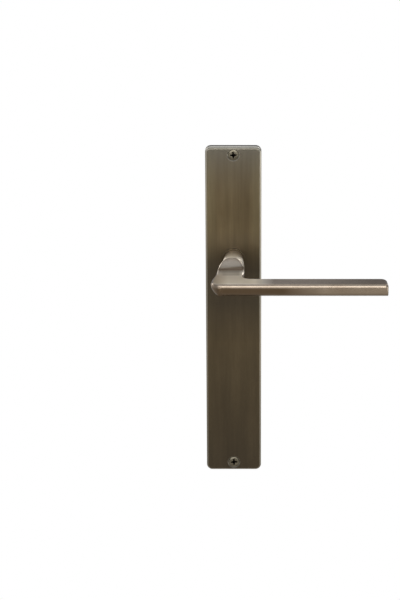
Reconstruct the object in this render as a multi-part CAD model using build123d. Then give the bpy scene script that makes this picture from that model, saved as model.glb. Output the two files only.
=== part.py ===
"""Door lever on a long backplate: plate, sprung lever, spindle and fixings.

Frame: origin on the spindle axis at the plate's door face, +X to the lever's tip, +Z up.
The front of the plate faces -Y, so a distance "out" from the door face is -Y.
"""
import math
import os

from build123d import *

# Backplate
PLATE_WIDTH = 39.0
PLATE_HEIGHT = 240.0
PLATE_THICKNESS = 5.0
PLATE_CORNER_RADIUS = 4.0
PLATE_EDGE_RADIUS = 1.9
AXIS_BELOW_TOP = 81.3
RIM_WIDTH = 3.2
SEAT_DEPTH = 1.4
POCKET_DEPTH = 2.2
POCKET_STEP = 0.8
POCKET_CORNER_RADIUS = 3.0
POCKET_FROM_AXIS = 23.0
POCKET_FROM_END = 13.0

# Fixing screws
SCREW_FROM_END = 6.0
SCREW_HEAD_RADIUS = 3.75
SCREW_SHANK_RADIUS = 2.1
SCREW_THREAD_RADIUS = 1.8
SCREW_LENGTH = 20.0
SCREW_POINT_LENGTH = 5.0
SCREW_POINT_RADIUS = 0.25
SCREW_SINK = 0.25
SCREW_HOLE_CLEARANCE = 0.25
RECESS_SPAN = 4.6
RECESS_WIDTH = 1.15
RECESS_DEPTH = 2.0
RECESS_TAPER = 12.0

# Neck collar and bush
COLLAR_RADIUS = 8.2
COLLAR_PROUD = 0.8
COLLAR_SEAT = 1.2
COLLAR_EDGE_RADIUS = 0.3
COLLAR_LIP = 0.7
BUSH_WALL = 0.8
BUSH_FLANGE_RADIUS = 10.0
BUSH_FLANGE_THICKNESS = 0.8
FIT = 0.03
RUNNING_FIT = 0.06

# Lever neck: round near the plate, then ovals that flare to the outer side, placed back from the front
TAIL_RADIUS = 6.3
TAIL_OVERLAP = 1.0
NECK_FLOAT = 0.3
NECK_LENGTH = 70.0
NECK_ROOT_RADIUS = 6.2
NECK_WAIST_BACK = 57.3
NECK_WAIST_RADIUS = 6.9
NECK_MID_BACK = 39.4
NECK_MID_SHIFT = -0.6
NECK_MID_HALF_WIDTH = 8.2
NECK_MID_HALF_HEIGHT = 8.3
HEAD_BACK = 21.4
HEAD_BACK_SHIFT = -2.6
HEAD_BACK_HALF_WIDTH = 10.3
HEAD_BACK_HALF_HEIGHT = 10.0
HEAD_FRONT_SHIFT = -3.5
HEAD_FRONT_HALF_WIDTH = 11.2
HEAD_FRONT_HALF_HEIGHT = 11.6
HEAD_CORNER_RADIUS = 6.0
LEVER_PROJECTION = 63.4

# Lever bar
BAR_DEPTH = 14.9
BAR_HEIGHT = 9.9
BAR_TIP_X = 105.5
BAR_CROWN = 9.0
TIP_SLANT = 0.6
TIP_REAR_RADIUS = 4.5
TIP_FRONT_RADIUS = 1.8
INNER_CORNER_RADIUS = 5.0

# Lever scoop: a ramp down from the neck's top that blends into the bar's flat top
SCOOP_LEVEL = 0.0
SCOOP_TOP_BACK = 34.4
SCOOP_TOP_Z = 8.8
SCOOP_ANGLE = 50.0
SCOOP_RADIUS = 12.0
RIM_EDGE_SHARE = 0.8

# Spring mechanism behind the plate
DRIVER_RADIUS = 12.9
DRIVER_THICKNESS = 1.5
DRIVER_GAP = 0.3
TAIL_FLATS = 11.2
TRAVEL = 45.0
STOP_PEG_RADIUS = 1.1
STOP_PEG_AT = 11.7
STOP_PEG_ANGLE = 180.0
STOP_CLEARANCE = 0.3
NOTCH_OVERCUT = 1.0
FINGER_WIDTH = 2.2
FINGER_REACH = 2.6
HOUSING_RADIUS = 14.6
HOUSING_WALL = 1.0
HOUSING_DEPTH = 10.2
EAR_HALF_WIDTH = 3.2
EAR_THICKNESS = 1.2
EAR_PEG_AT = 17.0
EAR_PEG_RADIUS = 1.4
EAR_PEG_HEIGHT = 1.9
SPRING_WIRE = 1.3
SPRING_RADIUS = 9.0
SPRING_PITCH = 1.5
SPRING_TURNS = 3.0
SPRING_LEG_RADIUS = 12.2
SPRING_ANGLE = -30.0
SPRING_SIDE_GAP = 0.15
WASHER_RADIUS = 10.5
FRICTION_WASHER_THICKNESS = 0.6
THRUST_WASHER_THICKNESS = 1.0
CLIP_THICKNESS = 1.2
CLIP_WIDTH = 1.9
CLIP_GROOVE_DEPTH = 0.5
CLIP_GAP = 3.4
CLIP_LUG_RADIUS = 1.5
CLIP_LUG_HOLE_RADIUS = 0.6
STACK_CLEARANCE = 0.15
BORE_CLEARANCE = 0.3
TAIL_BEYOND_CLIP = 1.4

# Spindle and grub screw
SPINDLE_SIDE = 7.6
SPINDLE_CHAMFER = 0.6
SPINDLE_BEHIND_SCOOP = 4.0
SPINDLE_CLEARANCE = 0.06
SPINDLE_END_GAP = 1.0
DOOR_THICKNESS = 38.0
SPINDLE_BEYOND_DOOR = 25.0
GRUB_FROM_SPINDLE_END = 9.0
GRUB_RADIUS = 2.45
GRUB_SOCKET = 2.5
GRUB_SOCKET_DEPTH = 1.8
GRUB_SINK = 0.35

# Sizes that follow from the ones above
Z_TOP = AXIS_BELOW_TOP
Z_BOTTOM = AXIS_BELOW_TOP - PLATE_HEIGHT
Z_MIDDLE = (Z_TOP + Z_BOTTOM) / 2
SCREW_Z = (Z_TOP - SCREW_FROM_END, Z_BOTTOM + SCREW_FROM_END)
SCREW_HOLE_RADIUS = SCREW_SHANK_RADIUS + SCREW_HOLE_CLEARANCE
BUSH_BORE = TAIL_RADIUS + RUNNING_FIT
BUSH_RADIUS = BUSH_BORE + BUSH_WALL
COLLAR_BORE = BUSH_RADIUS + FIT
COLLAR_FRONT = PLATE_THICKNESS + COLLAR_PROUD
LIP_BORE = TAIL_RADIUS + BORE_CLEARANCE
LIP_BACK_Y = COLLAR_LIP - COLLAR_FRONT
NECK_START = COLLAR_FRONT + NECK_FLOAT
SEAT_Y = -SEAT_DEPTH
BUSH_BACK_Y = SEAT_Y + BUSH_FLANGE_THICKNESS
DRIVER_Y = BUSH_BACK_Y + DRIVER_GAP
HOUSING_INNER = HOUSING_RADIUS - HOUSING_WALL
HOUSING_BACK_Y = SEAT_Y + HOUSING_DEPTH
FRICTION_Y = HOUSING_BACK_Y + STACK_CLEARANCE
THRUST_Y = FRICTION_Y + FRICTION_WASHER_THICKNESS + STACK_CLEARANCE
CLIP_Y = THRUST_Y + THRUST_WASHER_THICKNESS + STACK_CLEARANCE
TAIL_END_Y = CLIP_Y + CLIP_THICKNESS + TAIL_BEYOND_CLIP
WASHER_BORE = TAIL_RADIUS + BORE_CLEARANCE
GROOVE_RADIUS = TAIL_RADIUS - CLIP_GROOVE_DEPTH
CLIP_BORE = GROOVE_RADIUS + FIT
BELLY_RADIUS = BAR_DEPTH / 2
BELLY_Z = BELLY_RADIUS - BAR_HEIGHT
RIM_EDGE_RADIUS = RIM_EDGE_SHARE * (SCOOP_LEVEL - BELLY_Z)
SPRING_OUTER = SPRING_RADIUS + SPRING_WIRE
FINGER_TO_LEG = FINGER_WIDTH / 2 + SPRING_WIRE / 2 + SPRING_SIDE_GAP
FINGER_OFFSET = math.degrees(FINGER_TO_LEG / SPRING_OUTER)
FINGER_ANGLE = SPRING_ANGLE - FINGER_OFFSET
TAB_ANGLE = SPRING_ANGLE + FINGER_OFFSET
SPINDLE_SEAT_OUT = LEVER_PROJECTION - SCOOP_TOP_BACK - SPINDLE_BEHIND_SCOOP
SPINDLE_END_Y = DOOR_THICKNESS + SPINDLE_BEYOND_DOOR
GRUB_OUT = SPINDLE_SEAT_OUT - GRUB_FROM_SPINDLE_END
SQUARE_HOLE = SPINDLE_SIDE + 2 * SPINDLE_CLEARANCE
ON_SKIN = 0.001


def disc(radius, y0, y1):
    """Round slab about the spindle axis, from y0 to y1."""
    return extrude(Plane.XZ.offset(-y0) * Circle(radius), y0 - y1)


def ring(outer, inner, y0, y1):
    """Flat ring about the spindle axis."""
    return extrude(Plane.XZ.offset(-y0) * (Circle(outer) - Circle(inner)), y0 - y1)


def slab(sketch, y0, y1):
    """Sketch drawn in X and Z, made solid from y0 to y1."""
    return extrude(Plane.XZ.offset(-y0) * sketch, y0 - y1)


def turned(points):
    """Solid of revolution about the spindle axis from (radius, y) points."""
    return revolve(make_face(Polyline(*points, close=True)), Axis.Y)


def around(angle, radius):
    """X and Z of a point at an angle that grows with the lever's downward turn."""
    turn = math.radians(angle)
    return (radius * math.cos(turn), -radius * math.sin(turn))


def sector(inner, outer, start, end):
    """Ring sector sketch between two angles."""
    middle = (start + end) / 2
    edges = [
        ThreePointArc(around(start, outer), around(middle, outer), around(end, outer)),
        Line(around(end, outer), around(end, inner)),
        ThreePointArc(around(end, inner), around(middle, inner), around(start, inner)),
        Line(around(start, inner), around(start, outer)),
    ]
    return make_face(edges)


def double_d(radius, flats):
    """Round sketch with two flats, for the keyed tail."""
    return Circle(radius) & Rectangle(flats, 4 * radius)


def meeting_edges(result, first, second):
    """Edges of the result that lie on the skins of both pieces it was made from."""
    skins = [Compound(piece.faces()) for piece in (first, second)]
    return [e for e in result.edges() if all(skin.distance_to(e @ 0.5) < ON_SKIN for skin in skins)]


def make_backplate():
    outline = Pos(0, Z_MIDDLE) * RectangleRounded(PLATE_WIDTH, PLATE_HEIGHT, PLATE_CORNER_RADIUS)
    plate = slab(outline, 0, -PLATE_THICKNESS)
    front = plate.faces().sort_by(Axis.Y)[0]
    plate = fillet(front.edges(), PLATE_EDGE_RADIUS)
    seat_width = PLATE_WIDTH - 2 * RIM_WIDTH
    seat_height = PLATE_HEIGHT - 2 * POCKET_FROM_END
    seat = RectangleRounded(seat_width, seat_height, POCKET_CORNER_RADIUS)
    plate -= slab(Pos(0, Z_MIDDLE) * seat, 0, SEAT_Y)
    pocket_width = seat_width - 2 * POCKET_STEP
    for near, far in (
        (POCKET_FROM_AXIS, Z_TOP - POCKET_FROM_END - POCKET_STEP),
        (-POCKET_FROM_AXIS, Z_BOTTOM + POCKET_FROM_END + POCKET_STEP),
    ):
        pocket = RectangleRounded(pocket_width, abs(far - near), POCKET_CORNER_RADIUS)
        plate -= slab(Pos(0, (near + far) / 2) * pocket, 0, -POCKET_DEPTH)
    plate -= disc(BUSH_RADIUS + FIT, -PLATE_THICKNESS, 0)
    plate -= disc(COLLAR_RADIUS + FIT, -PLATE_THICKNESS, COLLAR_SEAT - PLATE_THICKNESS)
    sink = SCREW_HEAD_RADIUS + SCREW_HOLE_CLEARANCE + SCREW_SINK
    sink_depth = sink - SCREW_HOLE_RADIUS
    hole = turned([
        (0, -PLATE_THICKNESS),
        (sink, -PLATE_THICKNESS),
        (SCREW_HOLE_RADIUS, sink_depth - PLATE_THICKNESS),
        (SCREW_HOLE_RADIUS, 0),
        (0, 0),
    ])
    for z in SCREW_Z:
        plate -= Pos(0, 0, z) * hole
    for z in (EAR_PEG_AT, -EAR_PEG_AT):
        plate += Pos(0, 0, z) * disc(EAR_PEG_RADIUS, SEAT_Y, SEAT_Y + EAR_PEG_HEIGHT)
    peg_x, peg_z = around(STOP_PEG_ANGLE, STOP_PEG_AT)
    plate += Pos(peg_x, 0, peg_z) * disc(STOP_PEG_RADIUS, SEAT_Y, DRIVER_Y + DRIVER_THICKNESS)
    return plate


def make_neck_collar():
    back = COLLAR_SEAT - PLATE_THICKNESS
    collar = ring(COLLAR_RADIUS, LIP_BORE, -COLLAR_FRONT, back) - disc(COLLAR_BORE, LIP_BACK_Y, back)
    front = collar.faces().sort_by(Axis.Y)[0]
    return fillet(front.edges(), COLLAR_EDGE_RADIUS)


def make_neck_bush():
    barrel = ring(BUSH_RADIUS, BUSH_BORE, LIP_BACK_Y + FIT, BUSH_BACK_Y)
    return barrel + ring(BUSH_FLANGE_RADIUS, BUSH_BORE, SEAT_Y, BUSH_BACK_Y)


def make_fixing_screws():
    head_y = SCREW_SINK - PLATE_THICKNESS
    head_depth = SCREW_HEAD_RADIUS - SCREW_SHANK_RADIUS
    point_y = head_y + SCREW_LENGTH - SCREW_POINT_LENGTH
    screw = turned([
        (0, head_y),
        (SCREW_HEAD_RADIUS, head_y),
        (SCREW_SHANK_RADIUS, head_y + head_depth),
        (SCREW_SHANK_RADIUS, 0),
        (SCREW_THREAD_RADIUS, 0),
        (SCREW_THREAD_RADIUS, point_y),
        (SCREW_POINT_RADIUS, head_y + SCREW_LENGTH),
        (0, head_y + SCREW_LENGTH),
    ])
    mouth = Plane.XZ.offset(-head_y)
    slot = extrude(mouth * Rectangle(RECESS_SPAN, RECESS_WIDTH), -RECESS_DEPTH, taper=RECESS_TAPER)
    cross = slot + slot.rotate(Axis.Y, 90)
    screw -= cross
    return Compound(children=[Pos(0, 0, z) * screw for z in SCREW_Z])


def make_spring_housing():
    floor_y = HOUSING_BACK_Y - HOUSING_WALL
    ear_y = SEAT_Y + EAR_THICKNESS
    cup = disc(HOUSING_RADIUS, SEAT_Y, HOUSING_BACK_Y)
    back = cup.faces().sort_by(Axis.Y)[-1]
    cup = fillet(back.edges(), HOUSING_WALL) - disc(HOUSING_INNER, SEAT_Y, floor_y)
    cup -= disc(WASHER_BORE, SEAT_Y, HOUSING_BACK_Y)
    ear_length = 2 * (EAR_PEG_AT + EAR_HALF_WIDTH)
    ears = slab(SlotOverall(ear_length, 2 * EAR_HALF_WIDTH, rotation=90), SEAT_Y, ear_y)
    cup += ears - disc(HOUSING_INNER, SEAT_Y, ear_y)
    for z in (EAR_PEG_AT, -EAR_PEG_AT):
        cup -= Pos(0, 0, z) * disc(EAR_PEG_RADIUS + FIT, SEAT_Y, ear_y)
    half = math.degrees(FINGER_WIDTH / 2 / HOUSING_INNER)
    tab = sector(SPRING_OUTER, HOUSING_RADIUS - HOUSING_WALL / 2, TAB_ANGLE - half, TAB_ANGLE + half)
    return cup + slab(tab, floor_y - FINGER_REACH, floor_y)


def make_spring_driver():
    y1 = DRIVER_Y + DRIVER_THICKNESS
    plate = slab(Circle(DRIVER_RADIUS) - double_d(TAIL_RADIUS + FIT, TAIL_FLATS + 2 * FIT), DRIVER_Y, y1)
    reach = math.degrees((STOP_PEG_RADIUS + STOP_CLEARANCE) / STOP_PEG_AT)
    notch_inner = STOP_PEG_AT - STOP_PEG_RADIUS - STOP_CLEARANCE
    notch = sector(
        notch_inner, DRIVER_RADIUS + NOTCH_OVERCUT, STOP_PEG_ANGLE - TRAVEL - reach, STOP_PEG_ANGLE + reach
    )
    plate -= slab(notch, DRIVER_Y, y1)
    half = math.degrees(FINGER_WIDTH / 2 / DRIVER_RADIUS)
    finger = sector(SPRING_OUTER, DRIVER_RADIUS, FINGER_ANGLE - half, FINGER_ANGLE + half)
    return plate + slab(finger, y1, y1 + FINGER_REACH)


def make_return_spring():
    start_y = DRIVER_Y + DRIVER_THICKNESS + STACK_CLEARANCE + SPRING_WIRE / 2
    height = SPRING_PITCH * SPRING_TURNS
    coil = Helix(SPRING_PITCH, height, SPRING_RADIUS, (0, start_y, 0), (0, 1, 0), lefthand=True)
    begin = coil @ 0
    turn = SPRING_ANGLE - math.degrees(math.atan2(-begin.Z, begin.X))
    spring = sweep(Plane(origin=begin, z_dir=coil % 0) * Circle(SPRING_WIRE / 2), coil)
    for end in (coil @ 0, coil @ 1):
        outward = Vector(end.X, 0, end.Z).normalized()
        bend = Pos(end.X, end.Y, end.Z) * Sphere(SPRING_WIRE / 2)
        section = Plane(origin=end, z_dir=outward) * Circle(SPRING_WIRE / 2)
        spring += bend + extrude(section, SPRING_LEG_RADIUS - SPRING_RADIUS)
    return spring.rotate(Axis.Y, turn)


def make_neck():
    """Loft through round and oval sections; the head's front is at y = 0 here."""
    rings = [
        (NECK_LENGTH, 0.0, NECK_ROOT_RADIUS, NECK_ROOT_RADIUS),
        (NECK_WAIST_BACK, 0.0, NECK_WAIST_RADIUS, NECK_WAIST_RADIUS),
        (NECK_MID_BACK, NECK_MID_SHIFT, NECK_MID_HALF_WIDTH, NECK_MID_HALF_HEIGHT),
        (HEAD_BACK, HEAD_BACK_SHIFT, HEAD_BACK_HALF_WIDTH, HEAD_BACK_HALF_HEIGHT),
        (0.0, HEAD_FRONT_SHIFT, HEAD_FRONT_HALF_WIDTH, HEAD_FRONT_HALF_HEIGHT),
    ]
    sections = [Plane.XZ.offset(-back) * (Pos(x, 0) * Ellipse(a, b)) for back, x, a, b in rings]
    neck = loft(sections)
    front = neck.faces().sort_by(Axis.Y)[0]
    return fillet(front.edges(), HEAD_CORNER_RADIUS)


def make_bar():
    """Upright slot section along X; the scoop later leaves only its rounded lower part."""
    height = BAR_CROWN + BAR_HEIGHT
    shape = Pos(0, (BAR_CROWN - BAR_HEIGHT) / 2) * SlotOverall(height, BAR_DEPTH, rotation=90)
    plane = Plane(origin=(HEAD_FRONT_SHIFT, BELLY_RADIUS, 0), x_dir=(0, 1, 0), z_dir=(1, 0, 0))
    return extrude(plane * shape, BAR_TIP_X - HEAD_FRONT_SHIFT)


def make_belly_waste():
    """What lies below and in front of the bar's rounded belly, at the head."""
    width = 4 * HEAD_FRONT_HALF_WIDTH
    depth = 2 * BELLY_RADIUS
    drop = BAR_HEIGHT + HEAD_FRONT_HALF_HEIGHT
    block = Pos(0, BELLY_RADIUS - depth / 2, BELLY_Z - drop / 2) * Box(width, depth, drop)
    block -= Pos(0, BELLY_RADIUS, BELLY_Z) * Cylinder(BELLY_RADIUS, 2 * width, rotation=(0, 90, 0))
    under = Box(width, NECK_LENGTH, drop, align=(Align.CENTER, Align.MIN, Align.MAX))
    return block, Pos(0, 0, -BAR_HEIGHT) * under


def make_tip_waste():
    """What lies outside the tip's rounded plan."""
    corners = [
        (BAR_TIP_X / 2, 0),
        (BAR_TIP_X, 0),
        (BAR_TIP_X - TIP_SLANT, BAR_DEPTH),
        (BAR_TIP_X / 2, BAR_DEPTH),
    ]
    plan = make_face(Polyline(*corners, close=True))
    plan = fillet(plan.vertices().sort_by(Axis.X)[-1], TIP_FRONT_RADIUS)
    rear = plan.vertices().sort_by(Axis.X)[2:].sort_by(Axis.Y)[-1]
    plan = fillet(rear, TIP_REAR_RADIUS)
    kept = extrude(Pos(0, 0, -2 * BAR_HEIGHT) * plan, 4 * BAR_HEIGHT + BAR_CROWN)
    start = BAR_TIP_X - 2 * TIP_REAR_RADIUS - TIP_SLANT
    reach = 4 * BAR_DEPTH
    zone = Box(reach, reach, 8 * BAR_HEIGHT, align=(Align.MIN, Align.CENTER, Align.CENTER))
    return Pos(start, BELLY_RADIUS, 0) * zone - kept


def make_scoop():
    """Ramp, blend and flat, drawn from the side and run across the head and bar."""
    slope = math.tan(math.radians(SCOOP_ANGLE))
    rise = BAR_CROWN + HEAD_FRONT_HALF_HEIGHT
    foot = SCOOP_TOP_BACK - (SCOOP_TOP_Z - SCOOP_LEVEL) / slope
    corners = [
        (SCOOP_TOP_BACK + rise / slope, SCOOP_TOP_Z + rise),
        (foot, SCOOP_LEVEL),
        (-rise, SCOOP_LEVEL),
        (-rise, SCOOP_TOP_Z + rise),
    ]
    side = make_face(Polyline(*corners, close=True))
    inner = side.vertices().sort_by(Axis.Y)[:2].sort_by(Axis.X)[-1]
    side = fillet(inner, SCOOP_RADIUS)
    start = HEAD_FRONT_SHIFT - 2 * HEAD_FRONT_HALF_WIDTH
    plane = Plane(origin=(start, 0, 0), x_dir=(0, 1, 0), z_dir=(1, 0, 0))
    return extrude(plane * side, BAR_TIP_X - start + rise)


def make_head():
    """Neck, bar and scoop as one casting, with the lever's front at y = 0."""
    neck = make_neck()
    bar = make_bar()
    head = neck + bar
    head = head.fillet(INNER_CORNER_RADIUS, meeting_edges(head, neck, bar))
    for waste in make_belly_waste():
        head -= waste
    head -= make_tip_waste()
    scoop = make_scoop()
    scooped = head - scoop
    return scooped.fillet(RIM_EDGE_RADIUS, meeting_edges(scooped, head, scoop))


def make_lever():
    lever = Pos(0, -LEVER_PROJECTION, 0) * make_head()
    lever = split(lever, bisect_by=Plane.XZ.offset(NECK_START), keep=Keep.TOP)
    lever += disc(TAIL_RADIUS, -NECK_START - TAIL_OVERLAP, TAIL_END_Y)
    keyed = Circle(2 * TAIL_RADIUS) - Rectangle(TAIL_FLATS, 6 * TAIL_RADIUS)
    lever -= slab(keyed, BUSH_BACK_Y, TAIL_END_Y)
    lever -= ring(2 * TAIL_RADIUS, GROOVE_RADIUS, CLIP_Y - FIT, CLIP_Y + CLIP_THICKNESS + FIT)
    lever -= slab(Rectangle(SQUARE_HOLE, SQUARE_HOLE), -SPINDLE_SEAT_OUT - SPINDLE_END_GAP, TAIL_END_Y)
    tapped = Cylinder(GRUB_RADIUS + FIT, 2 * TAIL_RADIUS, align=(Align.CENTER, Align.CENTER, Align.MAX))
    return lever - Pos(0, -GRUB_OUT, 0) * tapped


def make_friction_washer():
    return ring(WASHER_RADIUS, WASHER_BORE, FRICTION_Y, FRICTION_Y + FRICTION_WASHER_THICKNESS)


def make_thrust_washer():
    return ring(WASHER_RADIUS, WASHER_BORE, THRUST_Y, THRUST_Y + THRUST_WASHER_THICKNESS)


def make_circlip():
    middle = CLIP_BORE + CLIP_WIDTH / 2
    shape = Circle(CLIP_BORE + CLIP_WIDTH) - Circle(CLIP_BORE)
    side = CLIP_GAP / 2 + CLIP_LUG_RADIUS
    reach = CLIP_BORE + CLIP_WIDTH
    for x in (-side, side):
        shape += Pos(x, -reach) * Circle(CLIP_LUG_RADIUS)
        shape -= Pos(x, -reach) * Circle(CLIP_LUG_HOLE_RADIUS)
    shape -= Circle(CLIP_BORE)
    shape -= Pos(0, -middle) * Rectangle(CLIP_GAP, 2 * middle)
    return slab(shape, CLIP_Y, CLIP_Y + CLIP_THICKNESS)


def make_spindle():
    bar = slab(Rectangle(SPINDLE_SIDE, SPINDLE_SIDE), -SPINDLE_SEAT_OUT, SPINDLE_END_Y)
    ends = bar.faces().sort_by(Axis.Y)
    return chamfer(ends[0].edges() + ends[-1].edges(), SPINDLE_CHAMFER)


def make_grub_screw():
    back = LEVER_PROJECTION - GRUB_OUT
    share = (NECK_WAIST_BACK - back) / (NECK_WAIST_BACK - NECK_MID_BACK)
    surface = NECK_WAIST_RADIUS + share * (NECK_MID_HALF_HEIGHT - NECK_WAIST_RADIUS)
    top = SPINDLE_SIDE / 2 + FIT
    length = surface - GRUB_SINK - top
    screw = Cylinder(GRUB_RADIUS, length, align=(Align.CENTER, Align.CENTER, Align.MAX))
    socket = extrude(RegularPolygon(GRUB_SOCKET / 2, 6, major_radius=False), GRUB_SOCKET_DEPTH)
    screw -= Pos(0, 0, -length) * socket
    return Pos(0, -GRUB_OUT, -top) * screw


NODES = {
    "backplate": make_backplate,
    "neck_collar": make_neck_collar,
    "neck_bush": make_neck_bush,
    "fixing_screws": make_fixing_screws,
    "spring_housing": make_spring_housing,
    "return_spring": make_return_spring,
    "lever": make_lever,
    "spring_driver": make_spring_driver,
    "friction_washer": make_friction_washer,
    "thrust_washer": make_thrust_washer,
    "circlip": make_circlip,
    "spindle": make_spindle,
    "grub_screw": make_grub_screw,
}

os.makedirs("parts", exist_ok=True)
for name, make in NODES.items():
    export_step(make(), f"parts/{name}.step")
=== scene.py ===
"""Finishes, threaded fasteners, return spring and studio for a door lever on a long backplate.

Everything is in metres, in the frame of the part: +X to the lever's tip, +Z up, front towards -Y.
"""

import math

import bmesh
import bpy
from mathutils import Matrix, Vector


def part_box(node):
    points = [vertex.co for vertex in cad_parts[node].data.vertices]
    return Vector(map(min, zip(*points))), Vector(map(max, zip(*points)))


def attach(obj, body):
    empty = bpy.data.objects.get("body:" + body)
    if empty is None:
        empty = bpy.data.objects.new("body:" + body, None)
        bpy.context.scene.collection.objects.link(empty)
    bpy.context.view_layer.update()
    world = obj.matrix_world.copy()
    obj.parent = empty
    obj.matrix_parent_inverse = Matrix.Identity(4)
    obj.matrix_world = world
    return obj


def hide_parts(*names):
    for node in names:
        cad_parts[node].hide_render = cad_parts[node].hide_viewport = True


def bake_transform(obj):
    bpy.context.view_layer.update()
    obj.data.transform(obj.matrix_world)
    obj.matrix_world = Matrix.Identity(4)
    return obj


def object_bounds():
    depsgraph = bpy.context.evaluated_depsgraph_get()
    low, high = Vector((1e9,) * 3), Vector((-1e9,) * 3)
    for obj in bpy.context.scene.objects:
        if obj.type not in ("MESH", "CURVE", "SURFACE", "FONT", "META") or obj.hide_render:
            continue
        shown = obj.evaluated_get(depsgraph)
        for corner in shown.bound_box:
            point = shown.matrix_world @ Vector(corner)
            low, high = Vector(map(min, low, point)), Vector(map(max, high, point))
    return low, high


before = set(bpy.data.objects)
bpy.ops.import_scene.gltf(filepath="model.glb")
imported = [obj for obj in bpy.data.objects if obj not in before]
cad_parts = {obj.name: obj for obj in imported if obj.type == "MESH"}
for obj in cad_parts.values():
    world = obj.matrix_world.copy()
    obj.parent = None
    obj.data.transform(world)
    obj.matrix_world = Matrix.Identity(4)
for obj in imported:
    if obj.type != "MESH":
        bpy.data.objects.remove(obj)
CAD_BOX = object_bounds()

bl_info = {
    "name": "Door lever finish",
    "version": (1, 0, 0),
    "blender": (4, 5, 0),
    "location": "View3D > Sidebar > Door lever",
    "description": "Patinated brass, threaded fixings, return spring and studio for a door lever",
    "category": "Object",
}

MM = 0.001

# Picture, lamps and floor
PIXELS_HIGH = 600
PIXELS_WIDE = 400
SENSOR_MM = 36.0
GRID_SPREAD = math.radians(110.0)
FLOOR_SIZE = 16.0
FLOOR_ROUGHNESS = 0.9
WHITE_BEHIND_Y = (0.4, 0.95)
WHITE_WITHIN_X = (0.85, 1.0)

# Mesh detail
MERGE_DISTANCE = 0.002 * MM
SCREW_SIDES = 64
GRUB_SIDES = 48
PIT_SIDES = 24
SCREW_THREAD_STEPS = 28
GRUB_THREAD_STEPS = 32
WIRE_SIDES = 16
COIL_STEPS = 56
LEG_BEND_STEPS = 7
THREAD_SMOOTHING = math.radians(32.0)
WIRE_SMOOTHING = math.radians(50.0)

# Threads and heads, as shares of a pitch, a radius, the point or the rounding
RIDGE_WIDTH = 0.62
RIDGE_LEAD = 0.8
RIDGE_END = 0.97
CORE_LEAD = 0.5
POINT_BARE = 0.3
POINT_DRAW = 0.86
GRUB_RIDGE_WIDTH = 0.9
GRUB_THREAD_DEPTH = 0.55
RIM_ROUNDING = ((0.0, 1.0), (0.4, 0.25), (1.0, 0.0))

# Radii near the end of a wood screw, by distance from that end
POINT_TIP = ((0.4 * MM, 0.22 * MM), (0.0, 0.05 * MM))

# Cross recess: its floor as shares of its mouth; the pit's radii above, at and below the mouth, in wings
RECESS_FLOOR_SPAN = 0.22
RECESS_FLOOR_WING = 0.5
PIT_RADII = (1.9, 1.05, 0.35)

# Noise: the range that most of it fills, and its scales across and along the brushing
NOISE_RANGE = (0.3, 0.7)
NOISE_ROUGHNESS = 0.6
CLOUD_RANGE = (0.35, 0.68)
LINE_RANGE = (0.25, 0.75)
SCREW_CLOUD_RANGE = (0.35, 0.65)
EVEN = (1.0, 1.0, 1.0)
LINES_ACROSS = 420.0
LINES_ALONG = 9.0
BANDS_ACROSS = 70.0
BANDS_ALONG = 5.0
CLOUD_STRETCH = (1.0, 1.0, 0.6)
SCREW_GRAIN = (300.0, 300.0, 300.0)
STEEL_GRAIN = (150.0, 150.0, 150.0)
DRAWN_GRAIN = (400.0, 12.0, 400.0)

# Surface grain: roughness and its spread, bump heights and strengths
BRASS_ROUGHNESS_SPREAD = 0.04
STEEL_ROUGHNESS_BELOW = 0.06
STEEL_ROUGHNESS_ABOVE = 0.08
SCREW_ROUGHNESS = (0.28, 0.42)
NYLON_ROUGHNESS = 0.5
SCREW_GRAIN_HEIGHT = 0.006 * MM
STEEL_GRAIN_HEIGHT = 0.008 * MM
NYLON_SKIN_HEIGHT = 0.01 * MM
BRUSH_STRENGTH = 0.6
GRAIN_STRENGTH = 0.5
SKIN_STRENGTH = 0.4

# Where the plate's finish and its painted light and shade change: Z in the part's frame, depths behind its
# face, the top edge from its top, the sink ring from the rim of a screw's head and the painted recess shade
# from the head's face
# Painted shadow of the lever on the plate below it
LEVER_SHADOW_Z = (-32.0 * MM, -8.0 * MM)
LEVER_SHADOW_FADE = 30.0 * MM
OLIVE_Z = (0.0, 40.0 * MM)
OLIVE_LEAST = 0.1
# Pale edges: partly rubbed brass, partly a painted highlight
TOP_EDGE_START = 2.0 * MM
TOP_EDGE_FULL = 1.0 * MM
WEAR_AND_SHEEN_SIDES_DEPTH = (0.25 * MM, 1.5 * MM)
WEAR_AND_SHEEN_SIDES_FADE = 0.2 * MM
WEAR_AND_SHEEN_SIDES_SHARE = (0.25, 0.6)
WEAR_AND_SHEEN_TOP_DEPTH = (0.6 * MM, 1.5 * MM)
WEAR_AND_SHEEN_TOP_FADE = 0.25 * MM
WEAR_AND_SHEEN_LEAST = 0.75
# Painted shade on the plate's sides
SIDE_SHADE_DEPTH = 1.9 * MM
SIDE_SHADE_FADE = 0.35 * MM
# Painted highlight ring round each countersink
SINK_RING = (0.2 * MM, 0.7 * MM)
SINK_FADE = 0.25 * MM
# Painted shade in the screws' cross recesses
RECESS_SHADE_DEPTH = 0.3 * MM
RECESS_SHADE_FADE = 0.22 * MM

# Where the lever's finish and its painted light and shade change, in the part's frame: each pair runs from
# one place to another
# Painted shade on the lower front
LOWER_FRONT_Z = (-1.6 * MM, -3.2 * MM)
LOWER_FRONT_X = (62.0 * MM, 34.0 * MM)
HEEL_CORNER_X = (-15.0 * MM, -10.0 * MM)
# Pale flat and ramp: rubbed brass and a painted reflection of the plate
SCOOP_Z = (-0.25 * MM, -0.05 * MM)
SCOOP_Y = (-29.5 * MM, -31.0 * MM)
FLAT_X = (28.0 * MM, 15.0 * MM)
FLAT_OUTER_X = (-12.5 * MM, -3.5 * MM)
RAMP_Z = (3.2 * MM, 4.7 * MM)
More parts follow.
